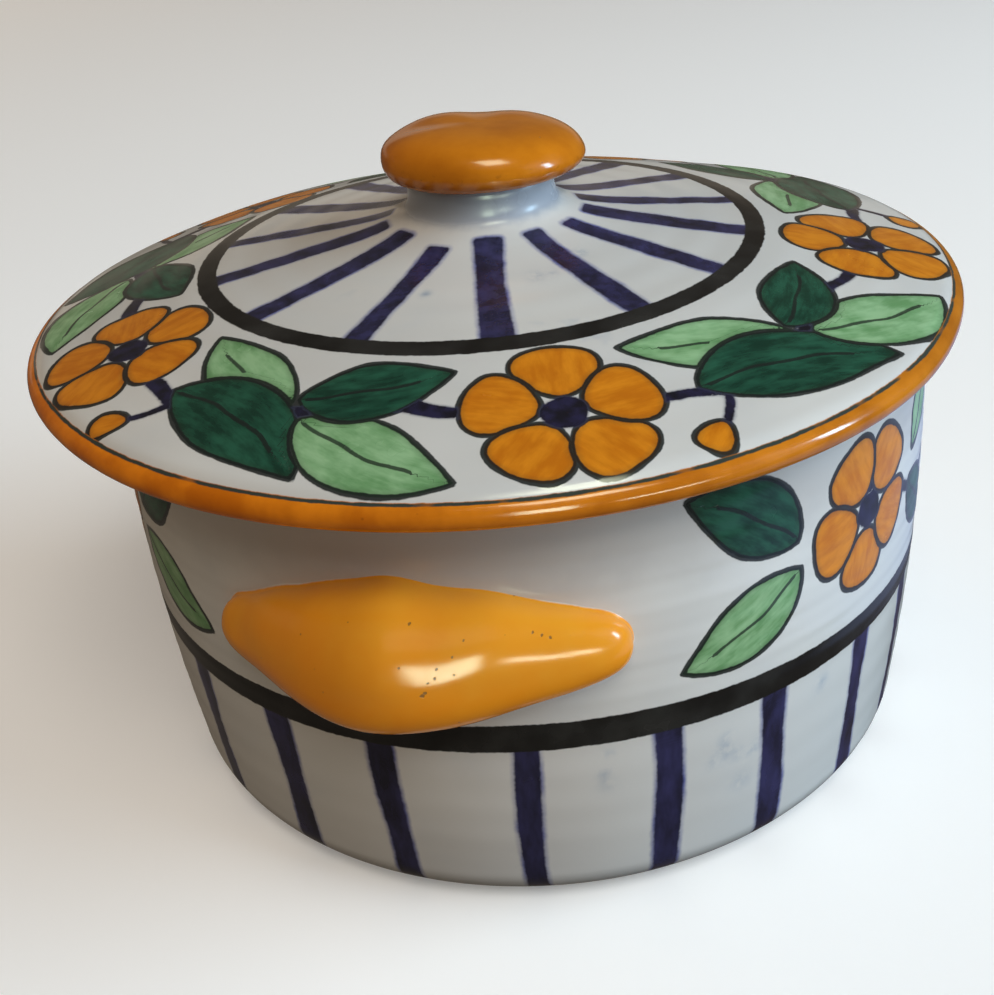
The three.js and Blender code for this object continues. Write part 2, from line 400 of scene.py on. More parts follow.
def build_lid():
    neck = smooth_line([(12.2, 107.5), (12.9, 107.3), (13.16, 106.8), (13.22, 106.0), (13.3, 104.7), (13.55, 103.3),
                        (14.2, 102.2), (15.4, 101.35), (17.2, 100.6), (20, 99.75)], 0.6)
    crown = smooth_line([(20, 99.75), (24, 98.9), (30, 97.95), (38, 96.75), (45, 95.75), (51.8, 94.7)], 1.05)
    band = smooth_line([(51.8, 94.7), (58, 93.4), (65, 91.8), (75, 89.4), (79.2, 88.33), (82.0, 87.42), (83.3, 86.52)], 0.56)
    rim = arc(82.75, 84.35, 2.22, 70, -90, 15)
    under_rim = smooth_line([(82.75, 82.13), (81.2, 82.22), (79.8, 82.47), (78.5, SEAT_Z)], 0.6)
    seat = np.stack([np.linspace(78.5, 61.6, 12), np.full(12, SEAT_Z)], 1)
    hollow = smooth_line([(61.6, SEAT_Z), (61.3, 82.9), (61.05, 83.6), (60.2, 85.5), (57.5, 87.6), (52, 89.3), (40, 91.3),
                          (20, 92.8), (0.0, 93.0)], 2.6)
    top_end = (0.0, 107.5)
    p = joined([top_end, (6.0, 107.5)], neck, crown, band, rim, under_rim, seat, hollow)
    n_top = len(joined([top_end, (6.0, 107.5)], neck, crown, band)) + 7      # last row shown with the top
    A, R, Z = lathe_grid(p, N_ROUND)
    # thrown and fired by hand: the edge is out of true, sunk most at the back; the seat stays flat
    def hump(deg, spread):
        return np.exp(-(((np.degrees(A) - deg + 540) % 360 - 180) / spread) ** 2)
    upper = np.arange(len(p))[:, None] < n_top
    share = np.where(upper, step(56, 84, R), step(78.5, 84, R))
    Z = Z + share * (-2.25 * hump(180.6, 33) - 0.9 * hump(-112.4, 22) + 0.3 * hump(115.6, 20))
    flat = 0.55 * hump(-39.4, 18) + 0.6 * hump(81.6, 16)                 # two flatter places in its outline
    R = R - step(72, 84, R) * flat - step(30, 80, R) * (0.10 + 0.10 * np.sin(2 * A + 1.1)) * (R > 30)
    Z = Z + (np.arange(len(p))[:, None] < n_top) * step(16, 40, R) * (1 - step(70, 80, R)) * (
        0.05 * np.sin(R * 0.83 + 0.4 * np.sin(2 * A)) + 0.08 * np.sin(2 * A + R * 0.05))
    s = run_length(p)
    top = np.arange(len(p)) < n_top

    # paint
    P = np.stack([R * np.sin(A), -R * np.cos(A)], 2)
    S = Sheet(P[top].reshape(-1, 2))
    lid_border(S)
    vals = {}
    for key in ("or_a", "or_b", "or_c", "dg", "lg", "nv", "vein", "bu", "bv", "tone"):
        g = np.full(A.shape, DEFAULTS.get(key, FAR))
        g[top] = S.d[key].reshape(-1, A.shape[1])
        vals[key] = g
    band_in = np.broadcast_to(52.0 - p[:, 0][:, None], A.shape)     # keep the vine off the ring
    for key in ("or_a", "or_b", "or_c", "dg", "lg", "nv"):
        vals[key] = np.where(top[:, None], np.maximum(vals[key], band_in), FAR)
    st = np.full(A.shape, FAR)
    begin = (16.9, 17.4, 16.6, 17.3, 16.5, 18.7, 16.6, 16.8, 17.6, 18.0, 17.3, 16.6, 17.0, 17.5, 16.8)
    for k, deg in enumerate((-147, -124.5, -100.5, -77.5, -52.5, -25, 1.75, 29.5, 54.5, 78.75, 100, 123, 145, 168, 190)):
        a = np.radians(deg) + VIEW_AZ
        along = P[..., 0] * np.sin(a) - P[..., 1] * np.cos(a)
        across = P[..., 0] * np.cos(a) + P[..., 1] * np.sin(a)
        across = across + 0.35 * np.sin(along * 0.11 + k * 1.7)
        half = 2.45 + 0.28 * np.sin(k * 2.3) + 0.2 * np.sin(along * 0.17 + k)
        dx, dy = np.abs(across) - half + 0.9, begin[k] - along + 0.9         # brushed on with a rounded start
        d = np.minimum(np.maximum(dx, dy), 0) + np.hypot(np.maximum(dx, 0), np.maximum(dy, 0)) - 0.9
        st = np.minimum(st, d)
    st = np.maximum(st, R - 50.0)
    vals["st"] = np.where(top[:, None], st, FAR)
    # the ring was turned a touch off the lid's centre
    off = 1.2 * np.array([-math.cos(VIEW_AZ), -math.sin(VIEW_AZ)])
    rr = np.hypot(P[..., 0] - off[0], P[..., 1] - off[1])
    vals["rg"] = np.where(top[:, None], np.abs(rr - 49.95) - (1.85 + 0.12 * np.sin(3 * A + 0.5)), FAR)
    # the rim colour runs from just inside the edge round to the seat
    edge = run_length(p)
    mark = edge[np.argmin(np.abs(p[:, 0] - 83.0) + 100 * (~top))]
    under = edge[np.argmin(np.abs(p[:, 0] - 79.5) + 100 * top)]
    rm = np.maximum(mark - edge, edge - under)[:, None] + 0.25 * np.sin(2 * A + 0.7) + 0.15 * np.sin(5 * A)
    rm = rm + 0.9 * hump(-125, 45)                       # brushed on more narrowly there
    vals["rm"] = rm
    seat_mask = step(62.2, 63.0, R) * (1 - step(77.0, 78.2, R)) * (~top[:, None])
    vals["clay"] = seat_mask
    vals["smear"] = top[:, None] * smears(P[..., 0], P[..., 1], (
        (-0.9, -33.9, 0.9, 1.0), (15.9, -26.5, 1.5, 0.55), (18.2, -25.1, 1.2, 0.5), (21.4, -16.6, 1.2, 0.75),
        (-27.0, 12.0, 1.4, 0.5), (8.0, 33.0, 1.6, 0.5)))

    rim_row = n_top - 1
    s_top = s / s[rim_row] * 0.355
    s_low = (s[-1] - s) / (s[-1] - s[rim_row]) * 0.2

    def chart(i, j, row):
        a = j * 2 * math.pi / N_ROUND
        if row < rim_row:
            return 0.365 + s_top[i] * math.sin(a), 0.635 - s_top[i] * math.cos(a)
        return 0.79 + s_low[i] * math.sin(a), 0.21 + s_low[i] * math.cos(a)

    return lathe_mesh("painted_lid", p, A, R, Z, LID_AT, chart, vals)


# ---------------------------------------------------------------------------
# pot
# ---------------------------------------------------------------------------
POT_STRIPES = [-38.8, -21.65, -5.65, 12.5, 30.1, 45.6, 62.5, 77.6]
POT_STRIPES += [77.6 + (321.2 - 77.6) / 14 * k + 0.9 * math.sin(k * 2.1) for k in range(1, 14)]


def build_pot():
    base = [(0.0, 0.0), (20.0, 0.0), (45.0, 0.0), (60.0, 0.0)]
    corner = arc(64.45, 8.3, 8.4, -90, 0, 15, 8.3)
    low = np.stack([wall_r(np.arange(9.5, 35.5, 1.45)), np.arange(9.5, 35.5, 1.45)], 1)
    zz = np.linspace(35.4, 80.95, 76)
    high = np.stack([wall_r(zz), zz], 1)
    t = wall_r(POT_TOP)
    lip = smooth_line([(wall_r(80.95), 80.95), (t - 0.14, 81.65), (t - 0.6, 82.15), (t - 1.4, 82.35), (t - 2.5, 82.35), (t - 3.6, 82.35),
                       (t - 4.45, 82.12), (t - 4.9, 81.6), (t - 5.0, 80.95)], 0.55)
    zi = np.linspace(80.5, 17.0, 18)
    inner = np.stack([wall_r(zi) - 5.0, zi], 1)
    ic = wall_r(14) - 14.0
    heel = arc(ic, 15.0, 9.0, 0, -90, 9)
    floor = [(ic - 8, 6.0), (ic - 22, 6.0), (20.0, 6.0), (0.0, 6.0)]
    p = joined(base, corner, low, high, lip, inner, heel, floor)
    A, R, Z = lathe_grid(p, N_ROUND)
    i_corner = len(base)
    i_lip = len(joined(base, corner, low, high))
    i_in = i_lip + len(lip) // 2
    rows = np.arange(len(p))[:, None]
    wall = (rows >= i_corner) & (rows < i_in)
    # slightly out of round, with faint throwing rings
    R = R + (rows >= i_corner) * step(10, 30, R) * (0.10 * np.sin(2 * A + 0.6) + 0.05 * np.sin(3 * A + 2.0))
    R = R + wall * step(9, 14, Z) * (0.035 * np.sin(Z * 0.86 + 0.5 * np.sin(3 * A)) + 0.02 * np.sin(Z * 2.1 + 1.0))
    R = R + (rows > i_in) * step(16, 24, Z) * 0.09 * np.sin(Z * 0.75 + 0.4 * np.sin(2 * A))
    s = run_length(p)

    az = (A + np.pi) % (2 * np.pi) - np.pi
    flat = np.stack([75.2 * az, Z], 2)
    up = np.broadcast_to(wall & (Z > 34), A.shape) & (rows < i_lip + 6)
    S = Sheet(flat[up])
    pot_border(S)
    vals = {}
    for key in ("or_a", "or_b", "or_c", "dg", "lg", "nv", "vein", "bu", "bv", "tone"):
        g = np.full(A.shape, DEFAULTS.get(key, FAR))
        g[up] = S.d[key]
        vals[key] = g
    for key in ("or_a", "or_b", "or_c", "dg", "lg", "nv"):
        vals[key] = np.where(up, np.maximum(vals[key], 41.0 - Z), FAR)
    st = np.full(A.shape, FAR)
    for k, deg in enumerate(POT_STRIPES):
        da = (az - math.radians(deg) + np.pi) % (2 * np.pi) - np.pi
        across = da * np.maximum(R, 60) + 0.35 * np.sin(Z * 0.13 + k * 1.9)
        half = 2.4 + 0.22 * np.sin(k * 1.7) + 0.15 * np.sin(Z * 0.21 + k) + 0.25 * step(20, 40, Z)
        st = np.minimum(st, np.abs(across) - half)
    st = np.maximum(st, Z - 38.5)
    st = np.maximum(st, 0.9 - Z)
    vals["st"] = np.where(wall & (rows < i_lip), st, FAR)
    mid = 38.7 + 0.25 * np.sin(A * 2 + 0.4) + 0.12 * np.sin(5 * A)
    vals["rg"] = np.where(wall & (rows < i_lip), np.abs(Z - mid) - (2.6 + 0.15 * np.sin(3 * A + 1.0)), FAR)
    lip_top = (rows >= i_lip - 1) & (rows < i_lip + len(lip) - 1)
    clay = lip_top * step(81.95, 82.3, Z)
    clay = np.maximum(clay, (rows <= i_corner) * 1.0)
    clay = np.maximum(clay, (rows <= i_corner + 4) * (1 - step(0.15, 0.6, Z)))
    vals["clay"] = np.broadcast_to(clay, A.shape)
    vals["smear"] = wall * smears(75.0 * az, Z, [(75.0 * math.radians(a), b, c, k) for a, b, c, k in (
        (38.0, 30.2, 1.5, 0.55), (38.0, 27.8, 1.7, 0.75), (42.3, 26.2, 1.5, 0.65), (36.5, 26.6, 1.3, 0.45),
        (39.8, 26.4, 1.4, 0.5), (21.9, 29.2, 1.0, 0.8), (22.2, 27.3, 1.6, 0.3), (54.0, 32.5, 1.5, 0.6),
        (40.8, 19.8, 2.2, 0.35), (-60.0, 25.0, 1.6, 0.5), (115.0, 28.0, 1.4, 0.5), (172.0, 22.0, 1.8, 0.5),
        (-130.0, 30.0, 1.5, 0.5))])

    k_wall = 0.375 / (s[i_in] - s[i_corner])
    i_heel = len(p) - len(floor) - 1
    return lathe_mesh("painted_pot", p, A, R, Z, (0.0, 0.0), pot_chart(s, i_corner, i_in, i_heel, k_wall), vals)


def pot_chart(s, i_corner, i_in, i_heel, k_wall):
    """Flat layout of the pot: the wall in two long halves, then the inside, the base and the inside floor."""
    half = N_ROUND // 2
    state = {"n": 0, "quad": []}

    def chart(i, j, row):
        a = j * 2 * math.pi / N_ROUND
        if row < i_corner:
            q = s[i] * 0.085 / s[i_corner]
            return 0.75 + q * math.sin(a), 0.1 + q * math.cos(a)
        if row < i_in:
            v = (s[i] - s[i_corner]) * k_wall
            # corners of one face come in fours: columns c, c+1, c+1, c
            state["quad"].append(j)
            c = state["quad"][0]
            if len(state["quad"]) == 4:
                state["quad"] = []
            if c < half:
                return 0.01 + 0.98 * j / half, 0.605 + v
            return 0.01 + 0.98 * (j - half) / half, 0.215 + v
        if row < i_heel:
            return 0.01 + 0.62 * j / N_ROUND, 0.01 + (s[i] - s[i_in]) * 0.18 / (s[i_heel] - s[i_in])
        q = (s[-1] - s[i]) * 0.085 / (s[-1] - s[i_heel])
        return 0.92 + q * math.sin(a) * 0.9, 0.1 - q * math.cos(a) * 0.9

    return chart


# ---------------------------------------------------------------------------
# locating ring under the lid
# ---------------------------------------------------------------------------
def build_ring():
    p = joined(arc(64.3, 76.2, 0.88, 0, -90, 7), arc(62.1, 76.1, 0.9, -90, -180, 7), smooth_line([(61.2, 76.1), (61.2, 79.4), (61.2, 82.62)], 1.2),
               [(63.2, 82.66), (65.18, 82.62)], smooth_line([(65.18, 82.62), (65.18, 79.4), (65.18, 76.2)], 1.2)[:-1])
    A, R, Z = lathe_grid(p, 320)
    R = R + 0.08 * np.sin(2 * A + 0.4) - 0.08 + 0.03 * np.sin(Z * 1.9 + np.sin(3 * A))
    Z = Z - (Z < 77) * 0.12 * (0.5 + 0.5 * np.sin(3 * A + 0.4)) * -1.0
    s = run_length(p)

    def chart(i, j, row):
        v = s[i] if i >= row else s[-1] + 0.5
        return 0.02 + 0.96 * j / 320, 0.05 + 0.85 * v / (s[-1] + 1.0)

    clay = np.broadcast_to((Z < 75.75) * 1.0, A.shape)
    return lathe_mesh("locating_ring", p, A, R, Z, LID_AT, chart, {"clay": clay}, closed=True)


# ---------------------------------------------------------------------------
# knob
# ---------------------------------------------------------------------------
def build_knob():
    NA, NV = 180, 36
    bottom, top, R0, foot = 107.6, 115.88, 18.40, 12.03
    h = top - bottom
    mid = bottom + 0.332 * h
    a = np.arange(NA) * 2 * np.pi / NA               # from the viewer's right, away from the viewer
    rings = []
    lower = [-math.pi / 2 * (1 - j / NV) for j in range(NV)]
    upper = [math.pi / 2 * (1 - (1 - j / NV) ** 1.9) for j in range(NV + 1)]
    for t in lower + upper:
        c = max(0.0, math.cos(t))
        if t < 0:
            r = foot + (R0 - foot) * c**0.434 + 0 * a
            z = mid + (mid - bottom) * math.sin(t) + 0 * a
        else:
            r = 0.4 + (R0 - 0.4) * c**0.461 + 0 * a
            z = mid + (top - mid) * math.sin(t) + 0 * a
            q = r / R0
            spread = 1.6 * q * q * np.sqrt(np.clip(1 - q**4, 0, 1)) * math.sin(t)
            for deg, width, depth in ((90, 0.404, 1.093), (172, 0.5, 1.34), (8, 0.5, 0.08)):
                off = (a - math.radians(deg) + math.pi) % (2 * math.pi) - math.pi
                z = z - depth * np.exp(-((off / width) ** 2)) * spread
        w = step(0, 1, (z - bottom) / (0.6 * h))
        z = z - r * (0.06 * np.cos(a) + 0.009 * np.sin(a)) * w
        r = r - 0.06 * (1 + np.sin(3 * a + 0.7)) * (0.3 + 0.7 * c)
        rings.append((r, z))
    a = a + VIEW_AZ
    verts, faces, uv = [], [], []
    verts.append((KNOB_AT[0], KNOB_AT[1], 107.3))
    inner = len(verts)
    for r, z in [(foot - 0.1 + 0 * a, 107.3 + 0 * a)] + rings:
        verts.extend(zip(KNOB_AT[0] + r * np.cos(a), KNOB_AT[1] + r * np.sin(a), z))
    last = len(verts)
    r, z = rings[-1]
    verts.append((KNOB_AT[0], KNOB_AT[1], z.mean() - 0.02))
    M = len(rings) + 1
    V = np.array(verts)
    s = run_length(np.array([(0, 107.3)] + [(np.mean(q[0]), np.mean(q[1])) for q in [(np.array([foot - 0.1]), np.array([107.3]))] + rings] + [(0, V[-1, 2])]))
    half = s[-1] * 0.42

    def corner(k, j):                                # k: 0 bottom middle, 1..M rings, M+1 top middle
        b = 2 * math.pi * j / NA
        if corner.low:
            q = s[k] / half * 0.235
            return 0.25 + q * math.cos(b), 0.25 - q * math.sin(b)
        q = (s[-1] - s[k]) / (s[-1] - half) * 0.33
        return 0.66 + q * math.cos(b), 0.66 + q * math.sin(b)

    for j in range(NA):
        g = (j + 1) % NA
        corner.low = True
        faces.append([0, inner + g, inner + j])
        uv += [corner(0, j), corner(1, j + 1), corner(1, j)]
        for i in range(M - 1):
            corner.low = s[i + 2] < half
            b = inner + i * NA
            faces.append([b + j, b + g, b + NA + g, b + NA + j])
            uv += [corner(i + 1, j), corner(i + 1, j + 1), corner(i + 2, j + 1), corner(i + 2, j)]
        corner.low = False
        b = inner + (M - 1) * NA
        faces.append([b + j, b + g, last])
        uv += [corner(M, j), corner(M, j + 1), corner(M + 1, j)]
    # bare of amber where it is luted to the neck
    foot_mask = 1 - step(107.55, 107.95, V[:, 2])
    return make("amber_knob", V, faces, uv, {"foot": foot_mask})


# ---------------------------------------------------------------------------
# lug handles
# ---------------------------------------------------------------------------
def build_lug(name, rear):
    NU, NV, NF, NB = 150, 60, 8, 6
    F = 0.8                                           # fillet where it was luted to the wall
    x = np.linspace(-1, 1, NU + 1)
    u = np.sin(x * np.pi / 2)
    blunt = np.sqrt(np.clip(1 - np.abs(u) ** 3.09, 0, 1))

    def series(*c):
        return np.exp(sum(k * np.cos(n * np.arccos(u)) for n, k in enumerate(c)))

    mid_z = 56.8 + 1.066 * u - 1.697 * u * u
    H = blunt * series(2.2832, -0.0277, -0.06753, 0.01164, 0.11878)
    P = blunt * series(2.30822, 0.06303, -0.16642, 0.03957, 0.20618, -0.04574)
    s = 75.5 * LUG_HALF * u
    fade = step(0, 0.16, 1 - np.abs(u))
    # the upper edge was pressed to the wall by fingers
    wave = sum(p * np.sin(k * np.pi * u) + q * np.cos(k * np.pi * u) for k, (p, q) in enumerate(
        ((0.0, 0.03), (-0.016, -0.088), (-0.081, 0.072), (-0.125, -0.018), (-0.104, 0.188), (-0.036, 0.019), (0.042, 0.104), (-0.048, -0.009)))) * fade
    z_top = mid_z + H + wave
    z_bot = mid_z - H + 0.08 * np.sin(s * 0.45) * fade

    def normal(ds, dz, sign):
        n = np.stack([-dz, ds], 1) * sign
        return n / (np.linalg.norm(n, axis=1, keepdims=True) + 1e-9)

    ds = np.gradient(s, x)
    n_top = normal(ds, np.gradient(z_top, x), 1)
    n_bot = normal(ds, np.gradient(z_bot, x), -1)
    rows = []                                         # each: (s, z, height over the wall, distance up from the foot)
    top_e, bot_e = np.stack([s, z_top], 1), np.stack([s, z_bot], 1)
    th = np.linspace(0, np.pi / 2, NF + 1)
    rows.append((top_e + n_top * F, -0.25 + 0 * s, 0))
    for q in th[:-1]:
        rows.append((top_e + n_top * F * (1 - np.sin(q)), F * (1 - np.cos(q)) - 0.04 + 0 * s, q / th[-1]))
    amp = np.maximum(P + 0.2 - F, 0.02)
    for v in np.linspace(np.pi / 2, -np.pi / 2, NV + 1):
        sv = math.sin(v)
        z = mid_z + np.where(sv > 0, (z_top - mid_z) * sv, (mid_z - z_bot) * sv)
        face = max(0.0, math.cos(v)) ** 0.9
        press = 0.9 * np.minimum(wave - 0.25, 0.0) * step(-0.2, 0.7, sv) * face
        rows.append((np.stack([s, z], 1), F + 0.990 * amp * face + press, 2.0 + face * 4))
    for q in th[:-1][::-1]:
        rows.append((bot_e + n_bot * F * (1 - np.sin(q)), F * (1 - np.cos(q)) - 0.04 + 0 * s, q / th[-1]))
    rows.append((bot_e + n_bot * F, -0.25 + 0 * s, 0))
    for k in range(1, NB):
        m = k / NB
        rows.append(((bot_e + n_bot * F) * (1 - m) + (top_e + n_top * F) * m, -0.25 + 0 * s, 0))
    M = len(rows)
    V = np.zeros((M, NU + 1, 3))
    foot = np.zeros((M, NU + 1))
    for k, (sz, hgt, f) in enumerate(rows):
        a = sz[:, 0] / 75.5 + (np.pi if rear else 0)
        r = wall_r(sz[:, 1]) + hgt
        V[k] = np.stack([r * np.sin(a), -r * np.cos(a), sz[:, 1]], 1)
        foot[k] = f
    idx = np.arange(M * (NU + 1)).reshape(M, NU + 1)
    faces, uv = [], []
    for k in range(M):
        g = (k + 1) % M
        for i in range(NU):
            faces.append([int(idx[k, i]), int(idx[g, i]), int(idx[g, i + 1]), int(idx[k, i + 1])])
            t0, t1 = k / M, (k + 1) / M
            uv += [(0.02 + 0.96 * i / NU, 0.02 + 0.96 * t0), (0.02 + 0.96 * i / NU, 0.02 + 0.96 * t1),
                   (0.02 + 0.96 * (i + 1) / NU, 0.02 + 0.96 * t1), (0.02 + 0.96 * (i + 1) / NU, 0.02 + 0.96 * t0)]
    ob = make(name, V.reshape(-1, 3), faces, uv, {"foot": 1 - np.clip(foot.ravel() - 0.25, 0, 1)})
    tidy(ob)
    return ob


def tidy(ob):
    """Merges the points where the two ends of a lug close, and turns every face outwards."""
    import bmesh
    bm = bmesh.new()
    bm.from_mesh(ob.data)
    bmesh.ops.remove_doubles(bm, verts=bm.verts, dist=2e-5)
    bmesh.ops.dissolve_degenerate(bm, edges=bm.edges, dist=1e-6)
    holes = [e for e in bm.edges if e.is_boundary]
    if holes:
        bmesh.ops.holes_fill(bm, edges=holes, sides=0)
    bmesh.ops.recalc_face_normals(bm, faces=bm.faces)
    for f in bm.faces:
        f.smooth = True
    bm.to_mesh(ob.data)
    bm.free()
    ob.data.update()


# ---------------------------------------------------------------------------
# materials
# ---------------------------------------------------------------------------
class Sock:
    """A shader value that can be added, multiplied and so on."""

    def __init__(self, g, s):
        self.g, self.s = g, s

    def __add__(self, o):
        return self.g.math("ADD", self, o)

    __radd__ = __add__

    def __sub__(self, o):
        return self.g.math("SUBTRACT", self, o)

    def __rsub__(self, o):
        return self.g.math("SUBTRACT", o, self)

    def __mul__(self, o):
        return self.g.math("MULTIPLY", self, o)

    __rmul__ = __mul__

    def min(self, o):
        return self.g.math("MINIMUM", self, o)

    def max(self, o):
        return self.g.math("MAXIMUM", self, o)

    def abs(self):
        return self.g.math("ABSOLUTE", self)

    def below(self, o):
        return self.g.math("LESS_THAN", self, o)


class Graph:
    def __init__(self, name):
        self.mat = bpy.data.materials.new(name)
        self.mat.use_nodes = True
        self.t = self.mat.node_tree
        self.t.nodes.clear()
        self.out = self.t.nodes.new("ShaderNodeOutputMaterial")
        self.bsdf = self.t.nodes.new("ShaderNodeBsdfPrincipled")
        self.t.links.new(self.bsdf.outputs["BSDF"], self.out.inputs["Surface"])
        self.coord = self.t.nodes.new("ShaderNodeTexCoord")
        m = self.t.nodes.new("ShaderNodeVectorMath")
        m.operation = "SCALE"
        m.inputs["Scale"].default_value = 1000.0
        self.t.links.new(self.coord.outputs["Object"], m.inputs[0])
        self.mm = m.outputs[0]                        # place on the piece, in millimetres

    def feed(self, socket, v):
        if isinstance(v, Sock):
            self.t.links.new(v.s, socket)
        elif isinstance(v, bpy.types.NodeSocket):
            self.t.links.new(v, socket)
        elif isinstance(v, tuple):
            socket.default_value = v if len(v) == 4 or socket.type == "VECTOR" else (*v, 1.0)
        else:
            socket.default_value = v

    def math(self, op, a, b=None, clamp=False):
        n = self.t.nodes.new("ShaderNodeMath")
        n.operation = op
        n.use_clamp = clamp
        self.feed(n.inputs[0], a)
        if b is not None:
            self.feed(n.inputs[1], b)
        return Sock(self, n.outputs[0])

    def attr(self, name):
        n = self.t.nodes.new("ShaderNodeAttribute")
        n.attribute_type = "GEOMETRY"
        n.attribute_name = name
        return Sock(self, n.outputs["Fac"])

    def stretch(self, x, y, z, vec=None):
        n = self.t.nodes.new("ShaderNodeVectorMath")
        n.operation = "MULTIPLY"
        self.t.links.new(vec or self.mm, n.inputs[0])
        n.inputs[1].default_value = (x, y, z)
        return n.outputs[0]

    def shift(self, x, y, z, vec=None):
        n = self.t.nodes.new("ShaderNodeVectorMath")
        n.operation = "ADD"
        self.t.links.new(vec or self.mm, n.inputs[0])
        n.inputs[1].default_value = (x, y, z)
        return n.outputs[0]

    def vector(self, x, y, z):
        n = self.t.nodes.new("ShaderNodeCombineXYZ")
        for i, v in enumerate((x, y, z)):
            self.feed(n.inputs[i], v)
        return n.outputs[0]

    def noise(self, size, detail=2.0, rough=0.5, vec=None, distort=0.0):
        """Cloudy noise about 0..1 with features of that size in millimetres."""
        n = self.t.nodes.new("ShaderNodeTexNoise")
        n.inputs["Scale"].default_value = 1.0 / size
        n.inputs["Detail"].default_value = detail
        n.inputs["Roughness"].default_value = rough
        n.inputs["Distortion"].default_value = distort
        self.t.links.new(vec or self.mm, n.inputs["Vector"])
        return Sock(self, n.outputs["Fac"])

    def specks(self, cell, radius, share, vec=None, soft=0.5):
        """Sparse round specks: one in share of the cells holds one."""
        n = self.t.nodes.new("ShaderNodeTexVoronoi")
        n.inputs["Scale"].default_value = 1.0 / cell
        self.t.links.new(vec or self.mm, n.inputs["Vector"])
        sep = self.t.nodes.new("ShaderNodeSeparateColor")
        self.t.links.new(n.outputs["Color"], sep.inputs[0])
        r = Sock(self, sep.outputs[1]) * (0.7 * radius / cell) + 0.3 * radius / cell
        d = Sock(self, n.outputs["Distance"])
        hit = self.ramp(d - r, 0.0, -soft * radius / cell)
        return hit * Sock(self, sep.outputs[0]).below(share)

    def ramp(self, v, lo, hi, a=0.0, b=1.0):
        """Smooth step from a at lo to b at hi."""
        n = self.t.nodes.new("ShaderNodeMapRange")
        n.interpolation_type = "SMOOTHSTEP"
        if lo > hi:
            lo, hi, a, b = hi, lo, b, a
        self.feed(n.inputs[0], v)
        for i, x in enumerate((lo, hi, a, b)):
            n.inputs[i + 1].default_value = x
        return Sock(self, n.outputs[0])

    def mix(self, f, a, b):
        n = self.t.nodes.new("ShaderNodeMix")
        n.data_type = "RGBA"
        self.feed(n.inputs[0], f)
        self.feed(n.inputs[6], a)
        self.feed(n.inputs[7], b)
        return n.outputs[2]

    def surface(self, colour, rough, height, ior=1.5):
        """height in millimetres"""
        self.feed(self.bsdf.inputs["Base Color"], colour)
        self.feed(self.bsdf.inputs["Roughness"], rough)
        self.bsdf.inputs["IOR"].default_value = ior
        b = self.t.nodes.new("ShaderNodeBump")
        b.inputs["Strength"].default_value = 1.0
        b.inputs["Distance"].default_value = MM
        self.feed(b.inputs["Height"], height)
        self.t.links.new(b.outputs["Normal"], self.bsdf.inputs["Normal"])
        return self.mat


WHITE_A = (0.735, 0.715, 0.675)
WHITE_B = (0.655, 0.640, 0.610)
LUG_AMBER = ((0.93, 0.300, 0.006), (0.97, 0.385, 0.016), (0.70, 0.160, 0.003))
KNOB_AMBER = ((0.46, 0.126, 0.003), (0.63, 0.200, 0.007), (0.26, 0.052, 0.002))


def clay_colour(g):
    return g.mix(g.noise(5.0, 4.0, 0.65), (0.60, 0.47, 0.33), (0.74, 0.62, 0.48))


